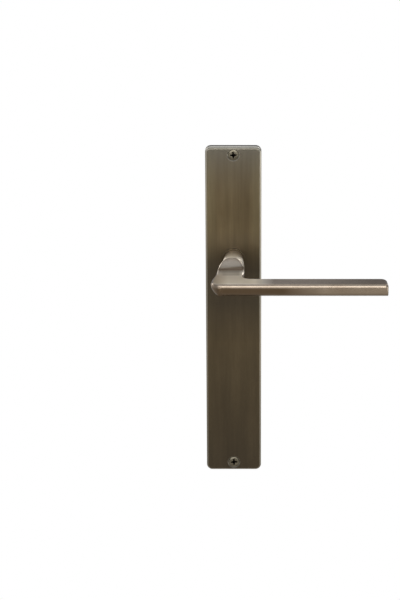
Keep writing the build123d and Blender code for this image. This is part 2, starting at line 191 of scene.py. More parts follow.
# Pale neck: rubbed brass and a painted highlight
NECK_Y = (-10.0 * MM, -27.0 * MM)
NECK_END_Y = (-29.4 * MM, -28.6 * MM)
# Painted dark reflection band in the scoop's bend and a painted shadow at its foot
BEND_Y = (-38.0 * MM, -32.5 * MM)
BEND_FADE = 1.5 * MM
BEND_LOW_Z = (0.1 * MM, 1.9 * MM)
BEND_HIGH_Z = (3.0 * MM, 4.9 * MM)
BEND_FOOT_Y = (-42.0 * MM, -36.5 * MM)
BEND_FOOT_FADE_Y = 0.8 * MM
BEND_FOOT_X = (-6.5 * MM, 3.5 * MM)
BEND_FOOT_FADE_X = 2.0 * MM
# Painted dark reflection on the bar's top at the tip and painted shade on its belly
TIP_X = (50.0 * MM, 95.0 * MM)
BELLY_Z = (-6.3 * MM, -8.6 * MM)
POLISH_Z = (2.0 * MM, 4.5 * MM)
SCUFF_Z = (1.0 * MM, 2.5 * MM)
HEEL_X = (-7.0 * MM, -11.0 * MM)
HEEL_Z = (-0.2 * MM, -1.2 * MM)


# Selecting and editing

def take(piece):
    """Makes the piece the only selected object and the active one."""
    bpy.ops.object.select_all(action="DESELECT")
    piece.select_set(True)
    bpy.context.view_layer.objects.active = piece


def start_edit(piece):
    """Opens the piece in edit mode with nothing selected."""
    take(piece)
    bpy.ops.object.mode_set(mode="EDIT")
    bpy.ops.mesh.select_all(action="DESELECT")


def end_edit():
    bpy.ops.object.mode_set(mode="OBJECT")


def pick_faces(piece, wanted):
    """In edit mode, selects the faces whose centre and normal are wanted."""
    bpy.ops.mesh.select_mode(type="FACE")
    mesh = bmesh.from_edit_mesh(piece.data)
    for face in mesh.faces:
        face.select_set(wanted(face.calc_center_median(), face.normal))
    mesh.select_flush_mode()
    bmesh.update_edit_mesh(piece.data)


def tidy_mesh(piece):
    """Merges doubles and turns every face outwards."""
    start_edit(piece)
    bpy.ops.mesh.select_all(action="SELECT")
    bpy.ops.mesh.remove_doubles(threshold=MERGE_DISTANCE)
    bpy.ops.mesh.normals_make_consistent(inside=False)
    end_edit()


def apply_modifier(piece, kind, **settings):
    """Adds a modifier, sets it and applies it."""
    take(piece)
    modifier = piece.modifiers.new(kind.title(), kind)
    for key, value in settings.items():
        setattr(modifier, key, value)
    bpy.ops.object.modifier_apply(modifier=modifier.name)


def smooth(piece, angle):
    take(piece)
    bpy.ops.object.shade_smooth_by_angle(angle=angle)


def place(piece, turn_z, tilt_x, spot):
    """Turns the piece about Z, tilts it about X, moves it and puts all that into its mesh."""
    piece.matrix_world = (
        Matrix.Translation(spot) @ Matrix.Rotation(tilt_x, 4, "X") @ Matrix.Rotation(turn_z, 4, "Z")
    )
    take(piece)
    bpy.ops.object.transform_apply(location=True, rotation=True, scale=True)


def join(pieces):
    """Joins pieces into the first one."""
    take(pieces[0])
    for piece in pieces:
        piece.select_set(True)
    bpy.ops.object.join()
    return pieces[0]


def copy_of(piece, name):
    """A copy with its own mesh."""
    twin = piece.copy()
    twin.data = piece.data.copy()
    twin.name = name
    bpy.context.scene.collection.objects.link(twin)
    return twin


def dress(piece, material):
    """Gives a piece one material."""
    piece.data.materials.clear()
    piece.data.materials.append(material)


def finish_piece(piece, name, body, material, stands_for):
    """Names a new piece, dresses it and ties it to the part."""
    piece.name = name
    piece.data.name = name
    dress(piece, material)
    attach(piece, body)
    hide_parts(stands_for)


# Turned shapes

def turned_bar(rings, sides):
    """A round bar along -Z from (depth, radius) rings, closed at both ends, drawn out ring by ring."""
    depth, radius = rings[0]
    bpy.ops.object.select_all(action="DESELECT")
    bpy.ops.mesh.primitive_circle_add(
        vertices=sides, radius=radius, fill_type="NGON", location=(0, 0, -depth)
    )
    piece = bpy.context.object
    bpy.ops.object.transform_apply(location=True, rotation=True, scale=True)
    bpy.ops.object.mode_set(mode="EDIT")
    bpy.ops.mesh.select_all(action="SELECT")
    for next_depth, next_radius in rings[1:]:
        bpy.ops.mesh.extrude_region_move(
            TRANSFORM_OT_translate={"value": (0, 0, depth - next_depth)}
        )
        grow = next_radius / radius
        bpy.ops.transform.resize(value=(grow, grow, 1), center_override=(0, 0, -next_depth))
        depth, radius = next_depth, next_radius
    end_edit()
    tidy_mesh(piece)
    return piece


def thread_ridge(core, crest, width, pitch, start, turns, steps):
    """A closed helical ridge on a core along -Z, which runs out to the core at both ends."""
    bpy.ops.object.select_all(action="DESELECT")
    bpy.ops.mesh.primitive_circle_add(
        vertices=4, radius=1.0, fill_type="NOTHING", rotation=(math.pi / 2, 0, 0)
    )
    piece = bpy.context.object
    piece.scale = (crest - core, width / 2, 1)
    piece.location = (core, 0, -start)
    bpy.ops.object.transform_apply(location=True, rotation=True, scale=True)
    apply_modifier(
        piece, "SCREW", axis="Z", angle=2 * math.pi, screw_offset=-pitch, iterations=turns,
        steps=steps, render_steps=steps, use_merge_vertices=False, use_smooth_shade=True,
    )
    start_edit(piece)
    bpy.ops.mesh.select_mode(type="EDGE")
    bpy.ops.mesh.select_non_manifold()
    bpy.ops.mesh.fill_holes(sides=0)
    end_edit()
    run_out = pitch / 2
    threaded = turns * pitch
    under = core * RIDGE_END
    for vertex in piece.data.vertices:
        travel = -vertex.co.z - start
        begun = max(0.0, (travel + run_out) / pitch)
        left = max(0.0, (threaded + run_out - travel) / pitch)
        radius = math.hypot(vertex.co.x, vertex.co.y)
        shrunk = under + (radius - under) * min(1.0, begun, left)
        vertex.co.x *= shrunk / radius
        vertex.co.y *= shrunk / radius
    tidy_mesh(piece)
    return piece


# Building materials

def add_node(tree, kind, inputs, **settings):
    """Adds a node, sets its options, and fills or links its inputs."""
    node = tree.nodes.new(kind)
    for key, value in settings.items():
        setattr(node, key, value)
    for socket, value in inputs.items():
        if isinstance(value, bpy.types.NodeSocket):
            tree.links.new(value, node.inputs[socket])
        else:
            node.inputs[socket].default_value = value
    return node


def blank_material(name):
    """A material with only a Principled shader and its output."""
    material = bpy.data.materials.new(name)
    material.use_nodes = True
    tree = material.node_tree
    return material, tree, tree.nodes["Principled BSDF"]


def object_axes(tree):
    """The X, Y and Z of the Object coordinates."""
    spot = add_node(tree, "ShaderNodeTexCoord", {}).outputs["Object"]
    axes = add_node(tree, "ShaderNodeSeparateXYZ", {"Vector": spot})
    return axes.outputs["X"], axes.outputs["Y"], axes.outputs["Z"]


def object_noise(tree, scale, size, detail):
    """Noise on Object coordinates, stretched by a scale for each axis."""
    spot = add_node(tree, "ShaderNodeTexCoord", {}).outputs["Object"]
    mapping = add_node(tree, "ShaderNodeMapping", {"Vector": spot, "Scale": scale})
    noise = add_node(tree, "ShaderNodeTexNoise", {
        "Vector": mapping.outputs["Vector"], "Scale": size, "Detail": detail, "Roughness": NOISE_ROUGHNESS,
    })
    return noise.outputs["Fac"]


def stretched(across, along, axis):
    """Noise scales for the three axes, with another one along the brushing."""
    return [along if name == axis else across for name in "XYZ"]


def spread(tree, value, low, high, out_low, out_high):
    """Maps a value's range to another, held at both ends."""
    node = add_node(tree, "ShaderNodeMapRange", {
        "Value": value, "From Min": low, "From Max": high, "To Min": out_low, "To Max": out_high,
    })
    return node.outputs["Result"]


def from_noise(tree, noise, out_low, out_high):
    """Maps the range that most noise fills to another."""
    return spread(tree, noise, *NOISE_RANGE, out_low, out_high)


def mix_colour(tree, factor, first, second, mode="MIX"):
    """Mixes two colours; the numbers are the Mix node's factor, its colours and its colour output."""
    inputs = {0: factor, 6: first, 7: second}
    return add_node(tree, "ShaderNodeMix", inputs, data_type="RGBA", blend_type=mode).outputs[2]


def math_node(tree, operation, first, second=0.0):
    node = add_node(tree, "ShaderNodeMath", {0: first, 1: second}, operation=operation)
    return node.outputs["Value"]


def product(tree, first, *others):
    """Multiplies values together."""
    for value in others:
        first = math_node(tree, "MULTIPLY", first, value)
    return first


def window(tree, value, low, high, soft):
    """1 between two limits, falling to 0 over a soft border outside them."""
    rise = spread(tree, value, low - soft, low, 0.0, 1.0)
    fall = spread(tree, value, high, high + soft, 1.0, 0.0)
    return product(tree, rise, fall)


def bump(tree, shader, height, distance, strength):
    node = add_node(tree, "ShaderNodeBump", {"Height": height, "Distance": distance, "Strength": strength})
    tree.links.new(node.outputs["Normal"], shader.inputs["Normal"])


def rgba(colour):
    return (*colour, 1.0)


def brushed_brass(name, finish, along):
    """Patinated brass: blotched colour, long brush lines along one axis, and a little bump."""
    material, tree, shader = blank_material(name)
    shader.inputs["Metallic"].default_value = 1.0
    shader.inputs["Coat Weight"].default_value = finish.lacquer
    shader.inputs["Coat Roughness"].default_value = finish.lacquer_roughness
    shader.inputs["Anisotropic"].default_value = finish.grain
    across = add_node(tree, "ShaderNodeTangent", {}, direction_type="RADIAL", axis=along)
    tree.links.new(across.outputs["Tangent"], shader.inputs["Tangent"])
    lines = object_noise(tree, stretched(LINES_ACROSS, LINES_ALONG, along), size=6.0, detail=3.0)
    bands = object_noise(tree, stretched(BANDS_ACROSS, BANDS_ALONG, along), size=2.2, detail=2.0)
    clouds = object_noise(tree, CLOUD_STRETCH, size=46.0, detail=3.0)
    blotches = spread(tree, clouds, *CLOUD_RANGE, 0.0, 1.0)
    patina = mix_colour(tree, blotches, rgba(finish.light), rgba(finish.dark))
    banded = mix_colour(tree, from_noise(tree, bands, 0.0, finish.banding), patina, rgba(finish.dark))
    shade = spread(tree, lines, *LINE_RANGE, 1.0 - finish.line_depth, 1.0 + finish.line_depth)
    lined = mix_colour(tree, 1.0, banded, shade, "MULTIPLY")
    return material, tree, shader, lined, lines, bands


def end_brass(tree, shader, colour, lines, bands, finish, polish=0.0):
    """Links a brass colour, its roughness and its brushed bump; polish takes roughness off."""
    tree.links.new(colour, shader.inputs["Base Color"])
    smoothest = finish.roughness - BRASS_ROUGHNESS_SPREAD
    roughest = finish.roughness + BRASS_ROUGHNESS_SPREAD
    rough = math_node(tree, "SUBTRACT", from_noise(tree, bands, smoothest, roughest), polish)
    tree.links.new(rough, shader.inputs["Roughness"])
    bump(tree, shader, lines, finish.line_height, BRUSH_STRENGTH)


def wear_and_sheen_edges(tree, y, z, low, high):
    """How far the plate's rounded long edges and top edge go pale, partly rubbed bare and partly a painted
    highlight, less towards the foot.
    """
    top_limits = (high.z - TOP_EDGE_START, high.z - TOP_EDGE_FULL)
    top = spread(tree, z, *top_limits, 0.0, 1.0)
    below = spread(tree, z, *top_limits, 1.0, 0.0)
    upward = spread(tree, z, low.z, high.z, *WEAR_AND_SHEEN_SIDES_SHARE)
    sides_y = [low.y + depth for depth in WEAR_AND_SHEEN_SIDES_DEPTH]
    top_y = [low.y + depth for depth in WEAR_AND_SHEEN_TOP_DEPTH]
    along_sides = product(tree, window(tree, y, *sides_y, WEAR_AND_SHEEN_SIDES_FADE), upward, below)
    along_top = product(tree, window(tree, y, *top_y, WEAR_AND_SHEEN_TOP_FADE), top)
    return math_node(tree, "MAXIMUM", along_sides, along_top)


def countersink_rims(tree, aside, z):
    """1 on a narrow ring round the head of each fixing screw."""
    low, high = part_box("fixing_screws")
    head = (high.x - low.x) / 2
    middle = (low.z + high.z) / 2
    reach = (high.z - low.z) / 2 - head
    away = math_node(tree, "ABSOLUTE", math_node(tree, "SUBTRACT", z, middle))
    away = math_node(tree, "SUBTRACT", away, reach)
    square = math_node(tree, "ADD", product(tree, away, away), product(tree, aside, aside))
    radius = math_node(tree, "SQRT", square)
    return window(tree, radius, *[head + depth for depth in SINK_RING], SINK_FADE)


def plate_brass(finish):
    """Backplate: brushed up and down, a painted greyer reflection at its top, darker towards its foot, a
    painted shadow below the lever, painted shade on its sides, and edges partly rubbed and partly a painted
    highlight.
    """
    material, tree, shader, colour, lines, bands = brushed_brass("plate_brass_aged", finish, "Z")
    low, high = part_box("backplate")
    x, y, z = object_axes(tree)
    foot = spread(tree, z, finish.foot_start, low.z, 0.0, finish.foot_darkness)
    colour = mix_colour(tree, foot, colour, rgba(finish.foot))
    # Painted shadow: the plate below the lever takes the foot's dark colour
    lever_shadow = product(tree, window(tree, z, *LEVER_SHADOW_Z, LEVER_SHADOW_FADE), finish.lever_shadow)
    colour = mix_colour(tree, lever_shadow, colour, rgba(finish.foot))
    aside = math_node(tree, "ABSOLUTE", x)
    side = spread(tree, aside, high.x - finish.edge_width, high.x, 0.0, finish.edge_share)
    side = product(tree, side, spread(tree, z, *OLIVE_Z, OLIVE_LEAST, 1.0))
    colour = mix_colour(tree, side, colour, rgba(finish.edge))
    # Painted reflection: the top is greyer, for the cool light that it reflects
    crown = spread(tree, z, high.z - finish.crown_height, high.z, 0.0, 1.0)
    colour = mix_colour(tree, product(tree, crown, crown), colour, rgba(finish.crown))
    # Pale rounded edges: partly rubbed brass, partly a painted highlight
    rubbed = product(tree, wear_and_sheen_edges(tree, y, z, low, high), from_noise(tree, bands, WEAR_AND_SHEEN_LEAST, 1.0))
    colour = mix_colour(tree, rubbed, colour, rgba(finish.wear_and_sheen))
    # Painted highlight: a pale ring round each countersink's rim
    rims = product(tree, countersink_rims(tree, aside, z), finish.sink_rim_sheen)
    colour = mix_colour(tree, rims, colour, rgba(finish.wear_and_sheen))
    # Painted shade: the plate's sides go dark
    sides = window(tree, y, low.y + SIDE_SHADE_DEPTH, 0.0, SIDE_SHADE_FADE)
    colour = mix_colour(tree, sides, colour, rgba(finish.sides))
    streaks = from_noise(tree, bands, 1.0 + finish.streaking, 1.0 - finish.streaking)
    colour = mix_colour(tree, 1.0, colour, streaks, "MULTIPLY")
    end_brass(tree, shader, colour, lines, bands, finish)
    return material


def lever_brass(finish):
    """Lever: brushed along its length; the head's flat is pale, partly thumb-rubbed and partly a painted
    reflection; painted shade in the bend, below and towards the tip.
    """
    material, tree, shader, colour, lines, bands = brushed_brass("lever_brass_satin", finish, "X")
    x, y, z = object_axes(tree)
    brown = rgba(finish.shade_brown)
    pale = rgba(finish.rubbed)

    # Painted shade in brown on the lower front of the head and bar, less on the heel
    under = spread(tree, z, *LOWER_FRONT_Z, 0.0, finish.lower_front_shade_share)
    inner = spread(tree, x, *LOWER_FRONT_X, 0.0, 1.0)
    corner = spread(tree, x, *HEEL_CORNER_X, finish.corner_share, 1.0)
    colour = mix_colour(tree, product(tree, under, inner, corner), colour, brown)

    # Pale on the scoop's flat, less on its outer side and on the ramp: partly thumb-rubbed brass, partly a
    # painted reflection of the plate
    above = spread(tree, z, *SCOOP_Z, 0.0, 1.0)
    ahead = spread(tree, y, *SCOOP_Y, 0.0, 1.0)
    near = spread(tree, x, *FLAT_X, 0.0, finish.rubbed_and_sheen_share)
    leaned = math_node(tree, "SUBTRACT", z, product(tree, x, finish.bend_lean))
    outer = spread(tree, x, *FLAT_OUTER_X, finish.outer_share, 1.0)
    slope = spread(tree, leaned, *RAMP_Z, outer, finish.ramp_share)
    colour = mix_colour(tree, product(tree, above, ahead, near, slope), colour, pale)

    # Pale along the neck, up to the scoop's edge: partly rubbed brass, partly a painted highlight
    neck = spread(tree, y, *NECK_Y, finish.neck_root, finish.neck_end)
    neck = product(tree, neck, spread(tree, y, *NECK_END_Y, 0.0, 1.0))
    colour = mix_colour(tree, neck, colour, pale)

    # Painted shade in brown: a dark reflection band in the scoop's bend, a shadow at the bend's foot, a
    # dark reflection on the bar's top at the tip, and shade on its belly
    inside = spread(tree, z, *BEND_LOW_Z, 0.0, 1.0)
    inside = product(tree, inside, spread(tree, leaned, *BEND_HIGH_Z, 1.0, 0.0))
    bend = product(tree, window(tree, y, *BEND_Y, BEND_FADE), inside, finish.bend_share)
    colour = mix_colour(tree, bend, colour, brown)
    # Painted shadow at the foot of the scoop's bend
    foot = product(tree, window(tree, y, *BEND_FOOT_Y, BEND_FOOT_FADE_Y), above)
    foot = product(tree, foot, window(tree, x, *BEND_FOOT_X, BEND_FOOT_FADE_X), finish.foot_share)
    colour = mix_colour(tree, foot, colour, brown)
    # Painted dark reflection on the bar's top towards the tip
    tip = product(tree, above, spread(tree, x, *TIP_X, 0.0, finish.tip_share))
    colour = mix_colour(tree, tip, colour, brown)
    # Painted shade on the bar's belly
    belly = spread(tree, z, *BELLY_Z, 0.0, finish.belly_share)
    colour = mix_colour(tree, belly, colour, brown)

    # Polished on the ramp, scuffed on the flat, the neck's end and the heel
    ramp = product(tree, ahead, spread(tree, z, *POLISH_Z, 0.0, finish.ramp_polish))
    flat = product(tree, above, near, spread(tree, z, *SCUFF_Z, finish.flat_scuffing, 0.0))
    heel = spread(tree, z, *HEEL_Z, 0.0, finish.heel_scuffing)
    heel = product(tree, spread(tree, x, *HEEL_X, 0.0, 1.0), heel)
    scuffed = math_node(tree, "MAXIMUM", flat, product(tree, neck, finish.neck_scuffing))
    scuffed = math_node(tree, "MAXIMUM", scuffed, heel)
    polish = math_node(tree, "SUBTRACT", ramp, scuffed)
    end_brass(tree, shader, colour, lines, bands, finish, polish)
    return material


def screw_brass(finish):
    """Screws: the plate's patina with a turned grain, and painted shade in the cross recess."""
    material, tree, shader = blank_material("screw_brass_aged")
    shader.inputs["Metallic"].default_value = 1.0
    grain = object_noise(tree, SCREW_GRAIN, size=4.0, detail=4.0)
    clouds = object_noise(tree, EVEN, size=420.0, detail=2.0)
    blotches = spread(tree, clouds, *SCREW_CLOUD_RANGE, 0.0, 1.0)
    colour = mix_colour(tree, blotches, rgba(finish.light), rgba(finish.dark))
    depth = object_axes(tree)[1]
    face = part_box("fixing_screws")[0].y
    # Painted shade in the cross recess
    inside = window(tree, depth, face + RECESS_SHADE_DEPTH, face + finish.recess_depth, RECESS_SHADE_FADE)
    colour = mix_colour(tree, inside, colour, rgba(finish.recess_shade))
    tree.links.new(colour, shader.inputs["Base Color"])
    tree.links.new(from_noise(tree, grain, *SCREW_ROUGHNESS), shader.inputs["Roughness"])
    bump(tree, shader, grain, SCREW_GRAIN_HEIGHT, GRAIN_STRENGTH)
    return material


def worked_steel(name, light, dark, rough, scale):
    """Steel with a fine grain and uneven tone."""
    material, tree, shader = blank_material(name)
    shader.inputs["Metallic"].default_value = 1.0
    grain = object_noise(tree, scale, size=5.0, detail=4.0)
    clouds = object_noise(tree, EVEN, size=130.0, detail=3.0)
    colour = mix_colour(tree, from_noise(tree, clouds, 0.0, 1.0), rgba(light), rgba(dark))
    tree.links.new(colour, shader.inputs["Base Color"])
    roughness = from_noise(tree, grain, rough - STEEL_ROUGHNESS_BELOW, rough + STEEL_ROUGHNESS_ABOVE)
    tree.links.new(roughness, shader.inputs["Roughness"])
    bump(tree, shader, grain, STEEL_GRAIN_HEIGHT, GRAIN_STRENGTH)
    return material


def moulded_nylon(name, colour, second):
    """Moulded nylon with a faint mottle and a fine matt skin."""
    material, tree, shader = blank_material(name)
    shader.inputs["Roughness"].default_value = NYLON_ROUGHNESS
    mottle = object_noise(tree, EVEN, size=260.0, detail=4.0)
    mixed = mix_colour(tree, from_noise(tree, mottle, 0.0, 1.0), rgba(colour), rgba(second))
    tree.links.new(mixed, shader.inputs["Base Color"])
    skin = object_noise(tree, EVEN, size=3200.0, detail=2.0)
    bump(tree, shader, skin, NYLON_SKIN_HEIGHT, SKIN_STRENGTH)
    return material


# Settings a user would change

def tint(name, description, default):
    return bpy.props.FloatVectorProperty(
        name=name, description=description, subtype="COLOR", size=3, min=0.0, max=1.0, default=default
    )


def share(name, description, default):
    return bpy.props.FloatProperty(
        name=name, description=description, subtype="FACTOR", min=0.0, max=1.0, default=default
    )


def length(name, description, default):
    return bpy.props.FloatProperty(
        name=name, description=description, unit="LENGTH", min=0.0, default=default, precision=6
    )


def bearing(name, description, degrees):
    return bpy.props.FloatProperty(
        name=name, description=description, subtype="ANGLE", default=math.radians(degrees)
    )


def pixels(name, description, default):
    return bpy.props.FloatProperty(name=name, description=description, subtype="PIXEL", default=default)


class PlateFinish(bpy.types.PropertyGroup):
    """Finish of the backplate and its collar."""

    light: tint("Light patina", "Colour of the rubbed brass", (0.182, 0.138, 0.074))
    dark: tint("Dark patina", "Colour of the browned brass", (0.140, 0.103, 0.052))
    foot: tint("Foot", "Colour that the plate deepens to at its foot", (0.057, 0.046, 0.033))
    foot_start: length("Foot start", "Height at which the plate starts to deepen", 25.0 * MM)
    foot_darkness: share("Foot darkness", "How far the foot takes that colour", 0.8)
    # Painted shadow of the lever on the plate
    lever_shadow: share("Under the lever", "How far the plate takes that colour below the lever", 0.75)
    # Painted reflection: the plate's greyer top
    crown: tint("Top", "Greyer colour of the plate's top", (0.175, 0.163, 0.132))
    crown_height: length("Top height", "How far down the greyer colour fades", 45.0 * MM)
    edge: tint("Long edges", "Olive tone along the two long edges", (0.290, 0.245, 0.140))
    edge_share: share("Edge tone", "How far the long edges take that tone", 0.6)
    edge_width: length("Edge tone width", "Width of the olive tone along each long edge", 9.0 * MM)
    # Pale edges: partly rubbed brass, partly a painted highlight; the countersink rims take it as a painted
    # highlight
    wear_and_sheen: tint("Worn edge", "Colour of the brass where the rounded edges are rubbed", (0.800, 0.775, 0.690))
    # Painted shade on the plate's sides
    sides: tint("Sides", "Dull colour of the plate's sides", (0.085, 0.072, 0.055))
    # Painted highlight round the countersinks
    sink_rim_sheen: share("Countersink wear", "How bare the rims of the countersinks are", 0.1)
    banding: share("Banding", "Strength of the broad brush bands", 0.6)
    streaking: share("Streaking", "How far those bands darken and lighten the whole plate", 0.14)
    line_depth: share("Line depth", "How much the brush lines change the tone", 0.10)
    line_height: length("Line height", "Height of the brush lines", 0.006 * MM)
    grain: share("Grain", "How far the brushing spreads reflections across its lines", 0.5)
    roughness: share("Roughness", "Mean roughness of the brushed face", 0.4)
    lacquer: share("Lacquer", "Weight of the clear lacquer", 0.35)
    lacquer_roughness: share("Lacquer roughness", "Roughness of the clear lacquer", 0.25)


class LeverFinish(bpy.types.PropertyGroup):
    """Finish of the lever."""

    light: tint("Light patina", "Colour of the rubbed brass", (0.400, 0.335, 0.268))
    dark: tint("Dark patina", "Colour of the browned brass", (0.330, 0.265, 0.205))
    # The unrubbed brown is painted shade: lower front, heel's corner, the scoop's bend and its foot, the
    # tip's top and the belly
    shade_brown: tint("Unrubbed brown", "Colour of the lower front and the scoop's bend", (0.120, 0.080, 0.045))
    lower_front_shade_share: share("Unrubbed share", "How far the head's lower front takes that colour", 0.95)
    corner_share: share("Heel share", "How far the heel's corner takes the lower front's colour", 0.25)
    bend_share: share("Bend share", "How far the scoop's bend takes that colour", 0.94)
    bend_lean: share("Bend lean", "How far that dull band climbs towards the tip's side", 0.07)
    tip_share: share("Tip share", "How far the bar's top takes that colour at the tip", 0.8)
    belly_share: share("Belly share", "How far the bar's underside takes that colour", 1.0)
    # The flat and ramp go pale: partly thumb-rubbed brass, partly a painted reflection of the plate
    ramp_share: share("Ramp share", "How far the scoop's ramp is rubbed pale", 0.18)
    outer_share: share("Outer flat", "How far the flat is rubbed on its outer side", 0.22)
    # Painted shadow at the foot of the scoop's bend
    foot_share: share("Bend's foot", "How far the foot of the scoop's bend stays brown", 0.34)
    ramp_polish: share("Ramp polish", "Roughness that thumbs have taken off the scoop's ramp", 0.08)
    flat_scuffing: share("Flat scuffing", "Roughness that wear has put on the head's flat", 0.16)
    neck_scuffing: share("Neck scuffing", "Roughness that wear has put on the neck's end", 0.26)
    heel_scuffing: share("Heel scuffing", "Roughness that wear has put on the heel", 0.3)
    # Partly thumb-rubbed brass, partly a painted reflection on the flat and a painted highlight on the neck
    rubbed: tint("Thumb-rubbed brass", "Colour of the head's flat, which thumbs rub", (0.910, 0.850, 0.740))
    rubbed_and_sheen_share: share("Rubbed share", "How far the head's flat takes that colour", 1.0)
    neck_root: share("Neck at the plate", "How far the neck takes that colour next to the plate", 0.2)
    neck_end: share("Neck at the head", "How far the neck takes that colour next to the head", 0.95)
    banding: share("Banding", "Strength of the broad brush bands", 0.3)
    line_depth: share("Line depth", "How much the brush lines change the tone", 0.03)
    line_height: length("Line height", "Height of the brush lines", 0.0008 * MM)
    grain: share("Grain", "How far the brushing spreads reflections across its lines", 0.75)
    roughness: share("Roughness", "Mean roughness of the satin face", 0.26)
    lacquer: share("Lacquer", "Weight of the clear lacquer", 0.25)
    lacquer_roughness: share("Lacquer roughness", "Roughness of the clear lacquer", 0.25)


class MechanismFinish(bpy.types.PropertyGroup):
    """Steel and nylon of the pieces behind the plate."""

    zinc_light: tint("Zinc, light", "Bright tone of the zinc plating", (0.60, 0.59, 0.55))
    zinc_dark: tint("Zinc, dark", "Dull tone of the zinc plating", (0.50, 0.49, 0.44))
    zinc_roughness: share("Zinc roughness", "Mean roughness of the zinc plating", 0.34)
    drawn_light: tint("Drawn steel, light", "Bright tone of the spindle", (0.52, 0.51, 0.49))
    drawn_dark: tint("Drawn steel, dark", "Dull tone of the spindle", (0.40, 0.39, 0.37))
    drawn_roughness: share("Drawn roughness", "Mean roughness of the spindle", 0.30)
    oiled_light: tint("Oiled steel, light", "Bright tone of the oiled spring steel", (0.16, 0.16, 0.17))
    oiled_dark: tint("Oiled steel, dark", "Dull tone of the oiled spring steel", (0.09, 0.09, 0.10))
    oiled_roughness: share("Oiled roughness", "Mean roughness of the oiled spring steel", 0.36)
    bush: tint("Bush", "Colour of the neck bush", (0.030, 0.030, 0.032))
    bush_mottle: tint("Bush mottle", "Second colour of the neck bush", (0.045, 0.044, 0.042))
    washer: tint("Washer", "Colour of the friction washer", (0.74, 0.72, 0.66))
    washer_mottle: tint("Washer mottle", "Second colour of the friction washer", (0.66, 0.64, 0.57))


class ScrewShape(bpy.types.PropertyGroup):
    """Shape and finish of the wood screws and the grub screw."""

    light: tint("Light patina", "Colour of the rubbed brass", (0.205, 0.188, 0.145))
    dark: tint("Dark patina", "Colour of the browned brass", (0.135, 0.118, 0.085))
    # Painted shade in the cross recess
    recess_shade: tint("Grime", "Colour of the dirt in the cross recess", (0.012, 0.010, 0.008))
    head_rounding: length("Head rounding", "Rounding of the head's rim", 0.12 * MM)
    cross_turn: bearing("Cross turn", "How far the cross recess stands turned", 4.0)
    shank: length("Shank radius", "Radius of the plain shank", 2.1 * MM)
    core: length("Core radius", "Radius under the wood thread", 1.35 * MM)
    pitch: length("Wood thread pitch", "Distance between turns of the wood thread", 1.6 * MM)
    point: length("Point length", "Length of the tapered point", 5.0 * MM)
    recess_span: length("Recess span", "Width of the cross recess at its mouth", 4.6 * MM)
    recess_wing: length("Recess wing", "Width of a wing of the cross recess", 1.15 * MM)
    recess_depth: length("Recess depth", "Depth of the cross recess", 2.0 * MM)
    grub_chamfer: length("Grub chamfer", "Chamfer at the ends of the grub screw", 0.25 * MM)
    grub_pitch: length("Machine thread pitch", "Pitch of the grub screw's thread", 0.8 * MM)
    grub_socket: length("Socket size", "Across the flats of the grub screw's socket", 2.5 * MM)
    grub_socket_depth: length("Socket depth", "Depth of the grub screw's socket", 1.8 * MM)


class SpringShape(bpy.types.PropertyGroup):
    """Shape of the return spring."""

    coil: length("Coil radius", "Radius of the coil at the middle of the wire", 9.0 * MM)
    wire: length("Wire", "Diameter of the wire", 1.3 * MM)
    reach: length("Leg reach", "How far from the axis the legs end", 12.2 * MM)
    bend: length("Leg bend", "Radius of the bend into each leg", 1.3 * MM)
    turns: bpy.props.IntProperty(name="Turns", description="Turns of the coil", min=1, default=3)
    leg_angle: bearing("Leg angle", "Angle of the legs above the lever's line", 30.0)


class StudioSettings(bpy.types.PropertyGroup):
    """Camera, floor and light."""

    elevation: bearing("Elevation", "Camera's angle above the horizon", 18.0)
    distance: length("Distance", "Camera's distance from its target", 1.6)
    target: bpy.props.FloatVectorProperty(
        name="Target", description="Point that the camera looks at", subtype="TRANSLATION", size=3,
        default=(0.01157, 0.0, -0.03139),
    )
    focal: pixels("Focal length", "Focal length in pixels of the picture", 2263.2)
    axis_column: pixels("Axis column", "Picture column that the lens axis falls on", 250.0)
    floor_drop: length("Floor drop", "How far below the part the floor lies", 0.6)
    floor: tint("Floor", "Colour of the floor", (0.80, 0.74, 0.64))
    room: tint("Room", "Colour of the room's dim light", (0.30, 0.30, 0.31))


# Operators

class FinishPlate(bpy.types.Operator):
    """Gives the backplate and its collar their brushed patina"""

    bl_idname = "door_lever.finish_plate"
    bl_label = "Finish plate"

    def execute(self, context):
        material = plate_brass(context.scene.plate_finish)
        for node in ("backplate", "neck_collar"):
            dress(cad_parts[node], material)
        return {"FINISHED"}


class FinishLever(bpy.types.Operator):
    """Gives the lever its satin patina"""

    bl_idname = "door_lever.finish_lever"
    bl_label = "Finish lever"

    def execute(self, context):
        dress(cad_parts["lever"], lever_brass(context.scene.lever_finish))
        return {"FINISHED"}


class FinishMechanism(bpy.types.Operator):
    """Gives the pieces behind the plate their steel and nylon"""

    bl_idname = "door_lever.finish_mechanism"
    bl_label = "Finish mechanism"

    def execute(self, context):
        looks = context.scene.mechanism_finish
        zinc = worked_steel(
            "zinc_plated_steel", looks.zinc_light, looks.zinc_dark, looks.zinc_roughness, STEEL_GRAIN
        )
        drawn = worked_steel(
            "drawn_steel", looks.drawn_light, looks.drawn_dark, looks.drawn_roughness, DRAWN_GRAIN
        )
        oiled = worked_steel(
            "oiled_spring_steel", looks.oiled_light, looks.oiled_dark, looks.oiled_roughness, STEEL_GRAIN
        )
        black = moulded_nylon("black_nylon_moulded", looks.bush, looks.bush_mottle)
        white = moulded_nylon("white_nylon_moulded", looks.washer, looks.washer_mottle)
        finishes = {
            "spring_housing": zinc, "spring_driver": zinc, "thrust_washer": zinc, "spindle": drawn,
            "circlip": oiled, "neck_bush": black, "friction_washer": white,
        }
        for node, material in finishes.items():
            dress(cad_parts[node], material)
        return {"FINISHED"}


